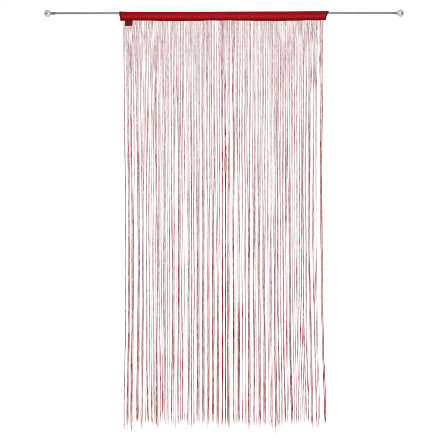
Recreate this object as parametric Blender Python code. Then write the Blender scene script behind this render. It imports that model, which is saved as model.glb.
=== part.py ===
"""A string curtain on its rod.

A thin steel rod with a ball at each end runs through a sewn header, a strip of cloth folded over
the rod. The strings are bound side by side on an edge strip that is caught in the header's hem.
They hang in loose bundles, and the solid of the strings is a comb with one tooth for each bundle.

Metres, +Z up. The origin is the middle of the rod's axis, +X runs along the rod, and -Y is the
curtain's front.
"""

import math
import random

import bmesh
import bpy

# Driving sizes.
GAP = 0.0003  # between pieces that touch
ROD_RADIUS = 0.005
ROD_SIDES = 32
BALL_RADIUS = 0.017
BALL_X = 0.847  # the middle of each ball
COLLAR_RADIUS = 0.007
COLLAR_FACE_X = 0.823  # the collar's flat inner face, where the rod ends
HEADER_WIDTH = 1.003  # along the fold over the rod
HEADER_DROP = 0.038  # from the rod's axis to the hem
HEADER_CLOTH = 0.0012
HEADER_STATIONS = 49
HEM_CLEARANCE = 0.0005  # between the edge strip and the cloth on each side of it
EDGE_STRIP = 0.0010  # thickness of the strip that the strings are bound to
EDGE_STRIP_TOP = 0.024  # below the rod's axis
EDGE_STRIP_MARGIN = 0.004  # past the first and the last tooth
TEETH = 39
STRING_DROP = 1.968  # from the rod's axis to the usual end of a bundle
LONG_TIP = 0.050  # most that a few bundles end below the rest
LABEL_LEFT = -0.4726
LABEL_WIDTH = 0.034
LABEL_CLOTH = 0.0010
SEED = 5

# The header is cut a little narrower at the hem than at the fold, and the fold's corners stand out.
# Each row: height above the rod's axis, draw-in of the left end, draw-in of the right end.
HEADER_ENDS = (
    (0.008, 0.0000, 0.0000),
    (-0.001, 0.0002, 0.0030),
    (-0.008, 0.0008, 0.0065),
    (-0.018, 0.0032, 0.0082),
    (-0.038, 0.0035, 0.0090),
)

# One half of the header's section, from the hem up to the level of the rod's axis.
# Each row: depth below the axis, distance from the middle plane, share of the hem's waves.
HEADER_HALF = (
    (0.0380, 0.0016, 1.00),
    (0.0310, 0.0016, 1.00),
    (0.0240, 0.0016, 1.00),
    (0.0165, 0.0017, 0.85),
    (0.0125, 0.0030, 0.45),
    (0.0080, 0.0050, 0.20),
    (0.0035, 0.0061, 0.08),
)
FOLD_STEPS = 8  # flats round the top half of the rod

# The outer strings' way down. They draw in below the header, and flare again towards their ends.
# Each row: depth below the rod's axis, left side, right side.
SIDES = (
    (0.035, -0.4860, 0.4780),
    (0.150, -0.4815, 0.4735),
    (0.450, -0.4765, 0.4710),
    (0.750, -0.4725, 0.4690),
    (1.100, -0.4715, 0.4695),
    (1.400, -0.4720, 0.4740),
    (1.650, -0.4750, 0.4790),
    (1.850, -0.4790, 0.4860),
    (2.050, -0.4810, 0.4900),
)
SIDE_PULL = 1.4  # how fast the draw-in fades towards the middle

# A bundle's section on its way down: strings stand spread out at the hem and gather below it.
# Each row: depth below the rod's axis, width as a share of the pitch, thickness.
BUNDLE = (
    (0.0330, 0.62, 0.0010),
    (0.0400, 0.62, 0.0010),
    (0.0700, 0.60, 0.0016),
    (0.2000, 0.54, 0.0019),
    (0.4500, 0.47, 0.0021),
    (0.7500, 0.43, 0.0022),
    (1.0500, 0.41, 0.0023),
    (1.3500, 0.39, 0.0023),
    (1.6000, 0.38, 0.0024),
    (1.8000, 0.36, 0.0024),
    (1.9150, 0.35, 0.0022),
)
TIP_SHARE = 0.15  # width of a bundle's frayed tip, as a share of the pitch
TIP_THICKNESS = 0.0012
SWAY = 0.0012  # most that a bundle wanders sideways or in depth on its way down

RED_CLOTH = (0.40, 0.012, 0.022)
RED_STRING = (0.22, 0.008, 0.015)
LABEL_CLOTH_COLOUR = (0.085, 0.008, 0.006)
STEEL = (0.42, 0.42, 0.43)
BRIGHT_STEEL = (0.72, 0.72, 0.73)


def clear_scene():
    for old in list(bpy.data.objects):
        bpy.data.objects.remove(old, do_unlink=True)


def material(name, colour, roughness, metallic=0.0):
    made = bpy.data.materials.new(name)
    made.use_nodes = True
    shader = made.node_tree.nodes["Principled BSDF"]
    shader.inputs["Base Color"].default_value = (*colour, 1.0)
    shader.inputs["Roughness"].default_value = roughness
    shader.inputs["Metallic"].default_value = metallic
    return made


def new_object(name, shape, finish, smooth=True):
    """An object from a bmesh, its faces turned outwards."""
    bmesh.ops.recalc_face_normals(shape, faces=shape.faces)
    mesh = bpy.data.meshes.new(name)
    shape.to_mesh(mesh)
    shape.free()
    mesh.materials.append(finish)
    if smooth:
        mesh.shade_smooth()
        mesh.set_sharp_from_angle(angle=math.radians(40))
    made = bpy.data.objects.new(name, mesh)
    bpy.context.scene.collection.objects.link(made)
    return made


def thicken(sheet, thickness):
    """Gives a sheet its thickness, half on each side."""
    wall = sheet.modifiers.new("Thickness", "SOLIDIFY")
    wall.thickness = thickness
    wall.offset = 0.0
    wall.use_even_offset = True
    wall.use_rim = True


def between(rows, at, column):
    """A column of a table whose first column rises or falls steadily, read at a value of that one."""
    for low, high in zip(rows, rows[1:]):
        if min(low[0], high[0]) <= at <= max(low[0], high[0]):
            share = (at - low[0]) / (high[0] - low[0])
            return low[column] + (high[column] - low[column]) * share
    nearest = min((rows[0], rows[-1]), key=lambda row: abs(row[0] - at))
    return nearest[column]


def smooth_step(share):
    share = min(max(share, 0.0), 1.0)
    return share * share * (3.0 - 2.0 * share)


def hem_bow(x):
    """How far the hem stands off the rod's own plane: slow waves along the header."""
    return 0.0006 * math.sin(x * 23.0 + 0.7) + 0.0002 * math.sin(x * 41.0 + 2.1)


def hem_level(x):
    """How far the hem rises or dips along the header."""
    return 0.0007 * math.sin(x * 31.0 + 1.0) + 0.0004 * math.sin(x * 67.0)


def fold_lift(x):
    """The fold rests on the rod on the left and in the middle, and stands off it towards the right."""
    right = 0.0022 * smooth_step((x - 0.05) / 0.15)
    left_corner = 0.0018 * smooth_step((-0.46 - x) / 0.04)
    return right + left_corner


def label_room(x):
    """The front layer swells over the label's sewn-in end."""
    middle = LABEL_LEFT + LABEL_WIDTH / 2
    off = abs(x - middle) - LABEL_WIDTH / 2
    return (LABEL_CLOTH + 2 * GAP) * (1.0 - smooth_step((off - 0.010) / 0.035))


def string_place(u, depth):
    """The x of the string that starts at share u of the width, at a depth below the rod."""
    first = SIDES[0]
    start = first[1] + (first[2] - first[1]) * u
    left = between(SIDES, depth, 1) - first[1]
    right = between(SIDES, depth, 2) - first[2]
    pull_left = max(0.0, 1.0 - 2.0 * u) ** SIDE_PULL
    pull_right = max(0.0, 2.0 * u - 1.0) ** SIDE_PULL
    return start + left * pull_left + right * pull_right


# Rod.
def make_rod(finish):
    length = 2 * (COLLAR_FACE_X - GAP)
    shape = bmesh.new()
    bmesh.ops.create_cone(
        shape,
        cap_ends=True,
        segments=ROD_SIDES,
        radius1=ROD_RADIUS,
        radius2=ROD_RADIUS,
        depth=length,
    )
    rod = new_object("rod", shape, finish)
    rod.rotation_euler = (0.0, math.radians(90), 0.0)


# Finials.
def finial_profile():
    """(distance along the axis from the collar's inner face, radius), from the face to the far pole."""
    chamfer = 0.0006
    middle = BALL_X - COLLAR_FACE_X
    neck = math.asin(COLLAR_RADIUS / BALL_RADIUS)
    points = [(0.0, 0.0), (0.0, COLLAR_RADIUS - chamfer), (chamfer, COLLAR_RADIUS)]
    rings = 18
    for ring in range(rings + 1):
        angle = neck + (math.pi - neck) * ring / rings
        radius = BALL_RADIUS * math.sin(angle)
        points.append((middle - BALL_RADIUS * math.cos(angle), max(radius, 0.0)))
    return points


def make_finial(name, side, finish):
    shape = bmesh.new()
    profile = finial_profile()
    corners = [
        shape.verts.new((side * (COLLAR_FACE_X + along), radius, 0.0)) for along, radius in profile
    ]
    outline = [shape.edges.new(pair) for pair in zip(corners, corners[1:])]
    bmesh.ops.spin(
        shape,
        geom=corners + outline,
        cent=(0.0, 0.0, 0.0),
        axis=(1.0, 0.0, 0.0),
        angle=2 * math.pi,
        steps=ROD_SIDES,
    )
    bmesh.ops.remove_doubles(shape, verts=shape.verts, dist=1e-6)
    new_object(name, shape, finish)


# Header.
def header_section(x):
    """(distance from the middle plane, height, share of the hem's waves), front hem to back hem."""
    lift = fold_lift(x)
    inside = (ROD_RADIUS + GAP) / math.cos(math.pi / (2 * FOLD_STEPS))
    radius = inside + HEADER_CLOTH / 2
    front = [(-away - label_room(x) * share, -depth, share) for depth, away, share in HEADER_HALF]
    back = [(away, -depth, share) for depth, away, share in reversed(HEADER_HALF)]
    fold = []
    for step in range(FOLD_STEPS + 1):
        angle = math.pi * step / FOLD_STEPS
        rise = math.sin(angle)
        fold.append((-radius * math.cos(angle), (radius + lift) * rise, 0.0))
    return front + fold + back


def make_header(finish):
    shape = bmesh.new()
    rows = []
    half = HEADER_WIDTH / 2
    for station in range(HEADER_STATIONS):
        along = 2.0 * station / (HEADER_STATIONS - 1) - 1.0
        row = []
        for away, height, share in header_section(along * half):
            draw_in = between(HEADER_ENDS, height, 1 if along < 0 else 2)
            x = along * (half - draw_in)
            y = away + hem_bow(x) * share
            z = height + hem_level(x) * share
            row.append(shape.verts.new((x, y, z)))
        rows.append(row)
    for row, following in zip(rows, rows[1:]):
        for j in range(len(row) - 1):
            shape.faces.new((row[j], row[j + 1], following[j + 1], following[j]))
    thicken(new_object("header", shape, finish), HEADER_CLOTH)


# Strings.
def plan_bundles():
    """Each bundle's place at the hem, shift below it, drop, fullness and sway, from one draw."""
    draw = random.Random(SEED)
    bundles = []
    for tooth in range(TEETH):
        bundles.append(
            {
                "u": (tooth + 0.5) / TEETH,
                "shift": draw.uniform(-0.13, 0.13) / TEETH,
                "drop": STRING_DROP + draw.uniform(-0.022, 0.020) + LONG_TIP * draw.random() ** 6,
                "fullness": draw.uniform(0.75, 1.20),
                "phase": draw.uniform(0.0, 2 * math.pi),
                "rate": draw.uniform(6.0, 11.0),
            }
        )
    return bundles


def bundle_ring(bundle, depth, share, thickness):
    """The four corners of a bundle at one depth: front left, front right, back right, back left."""
    pitch = (SIDES[0][2] - SIDES[0][1]) / TEETH
    loose = smooth_step((depth - 0.04) / 0.4)
    turn = bundle["phase"] + depth * bundle["rate"]
    x = string_place(bundle["u"] + bundle["shift"] * loose, depth) + SWAY * loose * math.sin(turn)
    half = pitch * share * (1.0 + (bundle["fullness"] - 1.0) * loose) / 2
    sway = SWAY * loose * math.cos(turn * 0.7)
    corners = []
    for across, away in ((-1, -1), (1, -1), (1, 1), (-1, 1)):
        side = x + across * half
        corners.append((side, hem_bow(side) + sway + away * thickness / 2, -depth))
    return corners


def bundle_rings(bundle):
    rings = [bundle_ring(bundle, depth, share, thickness) for depth, share, thickness in BUNDLE]
    rings.append(bundle_ring(bundle, bundle["drop"], TIP_SHARE, TIP_THICKNESS))
    return rings


def strip_column(shape, corner):
    """The edge strip's corners at one x: top front, bottom front, bottom back, top back."""
    x, z = corner
    front = hem_bow(x) - EDGE_STRIP / 2
    back = hem_bow(x) + EDGE_STRIP / 2
    return [
        shape.verts.new((x, front, -EDGE_STRIP_TOP)),
        shape.verts.new((x, front, z)),
        shape.verts.new((x, back, z)),
        shape.verts.new((x, back, -EDGE_STRIP_TOP)),
    ]


def make_strings(finish):
    shape = bmesh.new()
    teeth = [bundle_rings(bundle) for bundle in plan_bundles()]
    level = teeth[0][0][0][2]
    places = [teeth[0][0][0][0] - EDGE_STRIP_MARGIN]
    for rings in teeth:
        places += [rings[0][0][0], rings[0][1][0]]
    places.append(teeth[-1][0][1][0] + EDGE_STRIP_MARGIN)
    columns = [strip_column(shape, (x, level)) for x in places]
    shape.faces.new(columns[0])
    shape.faces.new(columns[-1])
    for number, (left, right) in enumerate(zip(columns, columns[1:])):
        for a, b in ((0, 1), (2, 3), (3, 0)):
            shape.faces.new((left[a], left[b], right[b], right[a]))
        if number % 2 == 0:
            shape.faces.new((left[1], left[2], right[2], right[1]))
            continue
        above = [left[1], right[1], right[2], left[2]]
        for ring in teeth[number // 2][1:]:
            below = [shape.verts.new(corner) for corner in ring]
            for a in range(4):
                b = (a + 1) % 4
                shape.faces.new((above[a], above[b], below[b], below[a]))
            above = below
        shape.faces.new(above)
    new_object("strings", shape, finish, smooth=False)


# Label.
def make_label(finish):
    """A plain tab: its upper end lies in the hem, in front of the edge strip, and the rest hangs."""
    shape = bmesh.new()
    top, columns, rows = 0.0300, 9, 8
    grid = []
    for row in range(rows):
        down = row / (rows - 1)
        line = []
        for column in range(columns):
            across = column / (columns - 1)
            x = LABEL_LEFT + LABEL_WIDTH * across
            lowest = 0.0604 - 0.0024 * across
            depth = top + (lowest - top) * down
            curl = smooth_step((depth - HEADER_DROP) / 0.030)
            away = (EDGE_STRIP + LABEL_CLOTH) / 2 + HEM_CLEARANCE
            y = hem_bow(x) - away - 0.0035 * curl - 0.0006 * curl * math.sin(across * math.pi)
            line.append(shape.verts.new((x, y, -depth)))
        grid.append(line)
    for upper, lower in zip(grid, grid[1:]):
        for a in range(columns - 1):
            shape.faces.new((upper[a], upper[a + 1], lower[a + 1], lower[a]))
    thicken(new_object("label", shape, finish), LABEL_CLOTH)


def main():
    clear_scene()
    steel = material("brushed steel", STEEL, 0.35, metallic=1.0)
    bright = material("bright steel", BRIGHT_STEEL, 0.12, metallic=1.0)
    make_rod(steel)
    make_finial("finial_left", -1, bright)
    make_finial("finial_right", 1, bright)
    make_header(material("header cloth", RED_CLOTH, 0.75))
    make_strings(material("strings", RED_STRING, 0.7))
    make_label(material("label cloth", LABEL_CLOTH_COLOUR, 0.7))


main()
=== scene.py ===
import itertools
import math
import random
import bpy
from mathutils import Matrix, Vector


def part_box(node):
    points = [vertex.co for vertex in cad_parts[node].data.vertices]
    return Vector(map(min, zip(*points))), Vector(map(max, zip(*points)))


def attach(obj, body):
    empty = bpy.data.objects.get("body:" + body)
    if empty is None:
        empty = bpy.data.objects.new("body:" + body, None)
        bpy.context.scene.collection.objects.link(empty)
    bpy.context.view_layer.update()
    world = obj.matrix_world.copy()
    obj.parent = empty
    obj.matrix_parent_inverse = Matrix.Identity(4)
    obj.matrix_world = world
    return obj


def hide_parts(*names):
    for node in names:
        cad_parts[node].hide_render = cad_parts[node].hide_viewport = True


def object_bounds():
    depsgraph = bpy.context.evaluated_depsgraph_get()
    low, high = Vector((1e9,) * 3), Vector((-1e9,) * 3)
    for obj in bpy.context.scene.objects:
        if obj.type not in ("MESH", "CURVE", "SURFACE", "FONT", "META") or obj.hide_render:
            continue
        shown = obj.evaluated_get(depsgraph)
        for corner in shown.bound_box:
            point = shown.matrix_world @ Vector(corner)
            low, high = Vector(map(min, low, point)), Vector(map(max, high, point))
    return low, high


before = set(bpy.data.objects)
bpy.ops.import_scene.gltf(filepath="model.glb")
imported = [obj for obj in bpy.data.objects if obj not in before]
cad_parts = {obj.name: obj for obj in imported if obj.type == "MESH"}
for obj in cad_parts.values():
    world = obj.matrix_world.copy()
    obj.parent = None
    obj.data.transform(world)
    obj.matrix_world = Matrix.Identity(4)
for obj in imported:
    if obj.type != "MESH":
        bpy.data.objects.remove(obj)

from types import SimpleNamespace

import bmesh
import bpy

cad_low, cad_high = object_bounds()
scene = bpy.context.scene


# ----------------------------------------
# Rod
# A thin drawn steel tube with a brushed, satin face. It is pushed through the header's pocket
# before its balls go on, and it lies bare at both sides, where brackets carry it.

rod_low, rod_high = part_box("rod")
ROD_RADIUS = rod_high.z
ROD_SIDES = 64
ROD_EDGE = 0.0006  # the cut ends are broken by this much
ROD_RINGS = 24
STEEL_DARK = (0.28, 0.28, 0.29)
STEEL_LIGHT = (0.40, 0.40, 0.41)
STEEL_TINT = (0.60, 0.60, 0.61, 1.0)
BRUSH_LINES = (14.0, 900.0, 900.0)  # for each metre along and across the tube
BRUSH_DEPTH = 0.00003
HANDLING_MARKS = 30.0  # for each metre


def made_by(tree, kind, inputs, out=0, **settings):
    """What a new node gives out. Each of its inputs is a value, or what another node gives out."""
    made = tree.nodes.new(kind)
    for setting, value in settings.items():
        setattr(made, setting, value)
    for socket, value in inputs.items():
        if isinstance(value, bpy.types.NodeSocket):
            tree.links.new(value, made.inputs[socket])
        else:
            made.inputs[socket].default_value = value
    return made.outputs[out]


def new_finish(name, roughness, metallic=0.0, **uniform):
    """A material, its nodes and its shader. What is the same all over is set on the shader itself."""
    made = bpy.data.materials.new(name)
    made.use_nodes = True
    shader = made.node_tree.nodes["Principled BSDF"]
    shader.inputs["Roughness"].default_value = roughness
    shader.inputs["Metallic"].default_value = metallic
    for socket, value in uniform.items():
        shader.inputs[socket.replace("_", " ")].default_value = value
    return made, made.node_tree, shader


def object_place(tree, stretch=(1.0, 1.0, 1.0), turn=(0.0, 0.0, 0.0)):
    """Object coordinates, stretched and turned for a pattern."""
    place = made_by(tree, "ShaderNodeTexCoord", {}, "Object")
    inputs = {"Vector": place, "Scale": stretch, "Rotation": turn}
    return made_by(tree, "ShaderNodeMapping", inputs)


def speckle(tree, place, scale, detail=3.0):
    """Soft random variation, 0 to 1, of about 1/scale metres."""
    return made_by(tree, "ShaderNodeTexNoise", {"Vector": place, "Scale": scale, "Detail": detail})


def ranged(tree, value, low, high, start=0.0, end=1.0):
    """A value that goes from low to high while the one that drives it goes from start to end."""
    inputs = {"Value": value, "From Min": start, "From Max": end, "To Min": low, "To Max": high}
    return made_by(tree, "ShaderNodeMapRange", inputs)


def blended(tree, share, low, high):
    """A colour between low and high. Each is a colour of its own, or the output of another node."""
    low, high = [(*colour, 1.0) if isinstance(colour, tuple) else colour for colour in (low, high)]
    return made_by(tree, "ShaderNodeMix", {"Factor": share, 6: low, 7: high}, 2, data_type="RGBA")


def dress(tree, shader, colour, *bumps, roughness=None):
    """Gives a shader its colour, roughness and bumps of real depths in metres, coarse ones first."""
    tree.links.new(colour, shader.inputs["Base Color"])
    if roughness is not None:
        tree.links.new(roughness, shader.inputs["Roughness"])
    below = {}
    for height, depth in bumps:
        inputs = {"Height": height, "Distance": depth, **below}
        below = {"Normal": made_by(tree, "ShaderNodeBump", inputs)}
    if below:
        tree.links.new(below["Normal"], shader.inputs["Normal"])


def brushed_steel():
    """Fine lines along the tube from drawing and brushing, and cloudy handling marks."""
    uniform = {"Anisotropic": 0.35, "Specular_Tint": STEEL_TINT}
    made, tree, shader = new_finish("brushed steel", 0.32, metallic=1.0, **uniform)
    lines = speckle(tree, object_place(tree, BRUSH_LINES), 1.0, 4.0)
    cloud = speckle(tree, object_place(tree), HANDLING_MARKS)
    colour = blended(tree, cloud, STEEL_DARK, STEEL_LIGHT)
    dress(tree, shader, colour, (lines, BRUSH_DEPTH), roughness=ranged(tree, lines, 0.22, 0.42))
    return made


def put_in(name, shape):
    """Puts a mesh, a light or a camera in the scene."""
    made = bpy.data.objects.new(name, shape)
    scene.collection.objects.link(made)
    return made


def place_piece(name, mesh, finish, slot_name, *nodes):
    """Puts a finished mesh in the scene as one piece of the object, riding on its body."""
    if finish is not None:
        mesh.materials.append(finish)
    made = put_in(name, mesh)
    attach(made, "root")
    if nodes:
        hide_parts(*nodes)
    return made


def shaped_mesh(shape, name, crease):
    """The mesh of a closed shape, with its faces outwards and its edges sharp past an angle."""
    bmesh.ops.recalc_face_normals(shape, faces=shape.faces)
    mesh = bpy.data.meshes.new(name)
    shape.to_mesh(mesh)
    shape.free()
    mesh.shade_smooth()
    mesh.set_sharp_from_angle(angle=math.radians(crease))
    return mesh


def turned_mesh(name, profile, sides):
    """A closed shape turned round the rod's axis from (place along it, radius) points."""
    shape = bmesh.new()
    line = [shape.verts.new((along, radius, 0.0)) for along, radius in profile]
    edges = [shape.edges.new(pair) for pair in zip(line, line[1:])]
    bmesh.ops.spin(
        shape,
        geom=line + edges,
        cent=(0.0, 0.0, 0.0),
        axis=(1.0, 0.0, 0.0),
        angle=2 * math.pi,
        steps=sides,
    )
    bmesh.ops.remove_doubles(shape, verts=shape.verts, dist=1e-6)
    return shaped_mesh(shape, name, 40)


def rod_profile():
    """(place along the rod, radius) of the tube, with its broken edges and closed ends."""
    start, end = rod_low.x, rod_high.x
    points = [(start, 0.0), (start, ROD_RADIUS - ROD_EDGE)]
    for ring in range(ROD_RINGS + 1):
        share = ring / ROD_RINGS
        points.append((start + ROD_EDGE + (end - start - 2 * ROD_EDGE) * share, ROD_RADIUS))
    return points + [(end, ROD_RADIUS - ROD_EDGE), (end, 0.0)]


place_piece("rod_tube", turned_mesh("rod_tube", rod_profile(), ROD_SIDES), brushed_steel(), "rod", "rod")


# ----------------------------------------
# Finials
# A hollow, polished and plated steel ball on each end of the rod. Its turned neck ends in a short
# sleeve that slips over the tube.

BALL_SIDES = 64
BALL_RINGS = 40
SLEEVE_WALL = 0.0009  # the sleeve stands this much proud of the tube
SLEEVE_LENGTH = 0.014
SLEEVE_EDGE = 0.0003
SLEEVE_STOP = 0.0004  # the bore's end, beyond the neck's face
CLEARANCE = 0.0003  # between metal pieces that slide on one another
NECK = 0.007
NECK_EDGE = 0.0006
NECK_GROOVE = 0.0007
NECK_FADE_FROM = 0.004  # beyond the rod's end: here the neck's darker colour starts to fade, and here the ball's brighter colour is whole
NECK_FADE_TO = 0.009  # and here the full polish starts
CHROME_DARK = (0.54, 0.54, 0.56)
CHROME_LIGHT = (0.68, 0.68, 0.69)
CHROME_TINT = (0.62, 0.62, 0.64, 1.0)
NECK_DARK = (0.30, 0.30, 0.31)  # of the sleeve and the neck, a darker metal colour
WIPING_MARKS = 60.0  # for each metre
SCRATCHES = (900.0, 160.0, 160.0)  # for each metre
SCRATCH_TURN = (0.0, 0.5, 0.3)
SCRATCH_DEPTH = 0.000006


def worked_out(tree, operation, *values):
    """The result of a sum on one or two values."""
    return made_by(tree, "ShaderNodeMath", dict(enumerate(values)), operation=operation)


def one_axis(tree, place, axis):
    """One of the three numbers of a place."""
    return made_by(tree, "ShaderNodeSeparateXYZ", {0: place}, axis)


def polished_plate():
    """Bright plating with faint wiping marks, in a darker colour on the sleeve and the neck."""
    made, tree, shader = new_finish("polished plating", 0.09, metallic=1.0, Specular_Tint=CHROME_TINT)
    smears = speckle(tree, object_place(tree), WIPING_MARKS, 5.0)
    scratches = speckle(tree, object_place(tree, SCRATCHES, SCRATCH_TURN), 1.0, 2.0)
    outward = worked_out(tree, "ABSOLUTE", one_axis(tree, object_place(tree), "X"))
    past_neck = ranged(tree, outward, 0.0, 1.0, rod_high.x + NECK_FADE_FROM, rod_high.x + NECK_FADE_TO)
    colour = blended(tree, past_neck, NECK_DARK, blended(tree, smears, CHROME_DARK, CHROME_LIGHT))
    roughness = ranged(tree, smears, 0.05, 0.16, 0.3, 0.8)
    dress(tree, shader, colour, (scratches, SCRATCH_DEPTH), roughness=roughness)
    return made


def finial_profile(low, high):
    """(place along the rod, radius) from the sleeve's inner end to the ball's far pole."""
    side = 1.0 if low.x > 0 else -1.0
    face, pole = (low.x, high.x) if side > 0 else (high.x, low.x)
    ball = high.z
    middle = abs(pole) - ball
    bore = ROD_RADIUS + CLEARANCE
    sleeve = bore + SLEEVE_WALL
    start = abs(face)
    points = [
        (start + SLEEVE_STOP, 0.0),
        (start + SLEEVE_STOP, bore),
        (start - SLEEVE_LENGTH, bore),
        (start - SLEEVE_LENGTH, sleeve - SLEEVE_EDGE),
        (start - SLEEVE_LENGTH + SLEEVE_EDGE, sleeve),
        (start - NECK_GROOVE, sleeve),
        (start, sleeve - SLEEVE_EDGE),
        (start, NECK - NECK_EDGE),
        (start + NECK_EDGE * 0.3, NECK - NECK_EDGE * 0.3),
        (start + NECK_EDGE, NECK),
    ]
    first = math.asin(NECK / ball)
    for ring in range(BALL_RINGS + 1):
        angle = first + (math.pi - first) * ring / BALL_RINGS
        points.append((middle - ball * math.cos(angle), max(ball * math.sin(angle), 0.0)))
    return [(side * along, radius) for along, radius in points]


plating = polished_plate()
for end in ("left", "right"):
    profile = finial_profile(*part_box(f"finial_{end}"))
    ball_mesh = turned_mesh(f"ball_finial_{end}", profile, BALL_SIDES)
    place_piece(f"ball_finial_{end}", ball_mesh, plating, "finial", f"finial_{end}")


# ----------------------------------------
# Header
# One strip of dense red knitted cloth, folded over the rod and sewn through at its hem, so that
# the fold makes the rod's pocket. Its ends are turned in and sewn as narrow side hems.

HEADER_WIDTH = 1.003
HEADER_DROP = 0.0358
CLOTH = 0.0009
FOLD_RADIUS = ROD_RADIUS + 0.0009  # of the cloth's middle over the rod, before it lifts
HEADER_STEP = 0.0013  # between neighbouring columns of the mesh
HALF_ROWS = 15
FOLD_ROWS = 12
RED_PAINTED_SHADE = (0.17, 0.0008, 0.0014)  # painted shade in the turned-in ends and between the loops of the knit
HEADER_CLOUD = 45.0  # for each metre
HEADER_FIBRES = 1400.0
FIBRE_DEPTH = 0.00006
KNIT_DEPTH = 0.00022
HEADER_GLOW = 0.25  # share of the light that comes through the cloth

# Each row: level on the cloth, as the height above the rod's axis before it lifts and waves, and
# colour of the cloth there, with light and shade painted in: a painted highlight along the fold,
# painted shade where the cloth is stretched over the rod, with the rod behind it, and where the hem
# lies four layers thick, and painted light between them, where light comes through the two layers.
HEADER_REDS_WITH_PAINTED_LIGHT = (
    (0.0063, (0.95, 0.0000, 0.0450)),
    (0.0050, (0.80, 0.0000, 0.0200)),
    (0.0036, (0.60, 0.0000, 0.0020)),
    (0.0018, (0.44, 0.0010, 0.0050)),
    (0.0000, (0.38, 0.0050, 0.0130)),
    (-0.0070, (0.42, 0.0070, 0.0140)),
    (-0.0110, (0.59, 0.0140, 0.0260)),
    (-0.0160, (0.65, 0.0160, 0.0280)),
    (-0.0205, (0.56, 0.0145, 0.0260)),
    (-0.0250, (0.40, 0.0050, 0.0125)),
    (-0.0300, (0.28, 0.0000, 0.0004)),
    (-0.0325, (0.29, 0.0000, 0.0004)),
    (-0.0350, (0.38, 0.0000, 0.0006)),
)

# Each row: height above the rod's axis, draw-in of the left end, draw-in of the right end.
HEADER_ENDS = (
    (0.010, 0.0000, 0.0000),
    (0.001, -0.0002, 0.0010),
    (-0.005, -0.0006, 0.0055),
    (-0.011, -0.0006, 0.0075),
    (-0.016, 0.0008, 0.0090),
    (-0.024, 0.0034, 0.0110),
    (-0.038, 0.0040, 0.0122),
)

# Each row: depth below the axis, distance from the middle plane, share of the hem's waves.
HEADER_HALF = (
    (0.0035, 0.0061, 0.08),
    (0.0080, 0.0050, 0.20),
    (0.0125, 0.0030, 0.45),
    (0.0165, 0.0017, 0.85),
    (0.0240, 0.0016, 1.00),
    (0.0310, 0.0016, 1.00),
    (0.0380, 0.0016, 1.00),
)

# The hem's waves to the front and back, its dips, and how the gathers drift from an even pitch.
# Each row: size, turn for each metre along the header, turn at the middle.
HEM_BOWS = ((0.0006, 23.0, 0.7), (0.0002, 41.0, 2.1))
HEM_DIPS = ((0.0010, 14.6, math.pi / 2), (0.0003, 67.0, 0.0))
GATHER_DRIFT = ((1.6, 37.0, 0.0), (1.1, 91.0, 1.3))

# How the hem's right corner is pulled up, how the fold lifts off the rod more towards its ends,
# and how the swelling over the label fades. Each row: size, where it starts, width it takes.
CORNER_PULL = (0.0030, 0.450, 0.045)
FOLD_LIFT = 0.0012
FOLD_LIFTS = ((0.0010, -0.15, 0.35), (0.0012, 0.27, 0.18), (0.0010, -0.46, -0.03))
LABEL_SWELL = (0.0016, 0.010, 0.035)

# Depths of the gathers and of the folds over the label: where they start, over what length they
# rise, where they fade, and over what length.
GATHER_ZONE = (0.010, 0.005, 0.031, 0.004)
FOLD_ZONE = (0.014, 0.008, 0.033, 0.004)

GATHER_PITCH = 0.0062
GATHER_SLANT = 0.35
GATHER_DEPTH = 0.00028
GATHER_EVEN = 0.65  # share of that depth that the gathers have on average
BACK_SHIFT = 0.0023  # of the back layer's gathers
FOLD_HEIGHT = 0.0009
FOLD_WIDTH = 0.0017
FOLD_SLANT = 0.55
FOLD_MEETING = 0.036  # depth where the two folds come together,
FOLD_APART = 0.001  # but for this much to each side
SIDE_HEM = 0.0075
SIDE_SEAM = SIDE_HEM - 0.0008
SIDE_STEP = 0.0003  # the turned-in ends stand this much prouder
SIDE_STEP_WIDTH = 0.0012
HEM_SEAMS = (0.0243, 0.0332)  # depths of the two sewing lines

# How sewing lines sink in at the side hems and at the hem. Each row: depth, half the width.
SIDE_GROOVE = (0.0003, 0.0009)
HEM_GROOVE = (0.00025, 0.0008)


def between(rows, at, column):
    """A column of a table whose first column rises or falls steadily, read at a value of that one."""
    for low, high in zip(rows, rows[1:]):
        if min(low[0], high[0]) <= at <= max(low[0], high[0]):
            share = (at - low[0]) / (high[0] - low[0])
            return low[column] + (high[column] - low[column]) * share
    nearest = min((rows[0], rows[-1]), key=lambda row: abs(row[0] - at))
    return nearest[column]


def smooth_step(share):
    """0 up to 0 and 1 from 1 on, with a soft rise between them."""
    share = min(max(share, 0.0), 1.0)
    return share * share * (3.0 - 2.0 * share)


def rise(at, row):
    """A soft rise of a size, from a start and over a width."""
    size, start, width = row
    return size * smooth_step((at - start) / width)


def waves(at, rows):
    """Waves of several sizes and lengths laid over one another."""
    return sum(size * math.sin(at * turn + first) for size, turn, first in rows)


def zone(depth, limits):
    """1 inside a zone and 0 outside it, with soft limits."""
    start, rising, fade, fading = limits
    return smooth_step((depth - start) / rising) * (1.0 - smooth_step((depth - fade) / fading))


def groove(off, row):
    """How far a sewing line sinks in at a distance from its middle."""
    depth, half = row
    return depth * math.exp(-((off / half) ** 2))


def hem_bow(x):
    """How far the hem stands off the rod's own plane: slow waves along the header."""
    return waves(x, HEM_BOWS)


def hem_level(x):
    """How far the hem rises or dips along the header, with the right corner pulled up."""
    return waves(x, HEM_DIPS) + rise(x, CORNER_PULL)


def fold_lift(x):
    """The fold stands a little off the rod, and further towards the right, where it is loose."""
    return FOLD_LIFT + sum(rise(x, row) for row in FOLD_LIFTS)


label_low, label_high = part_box("label")
LABEL_MIDDLE = (label_low.x + label_high.x) / 2
LABEL_HALF = (label_high.x - label_low.x) / 2


def label_room(x):
    """The front layer swells over the label's sewn-in end."""
    return LABEL_SWELL[0] - rise(abs(x - LABEL_MIDDLE) - LABEL_HALF, LABEL_SWELL)


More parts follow.
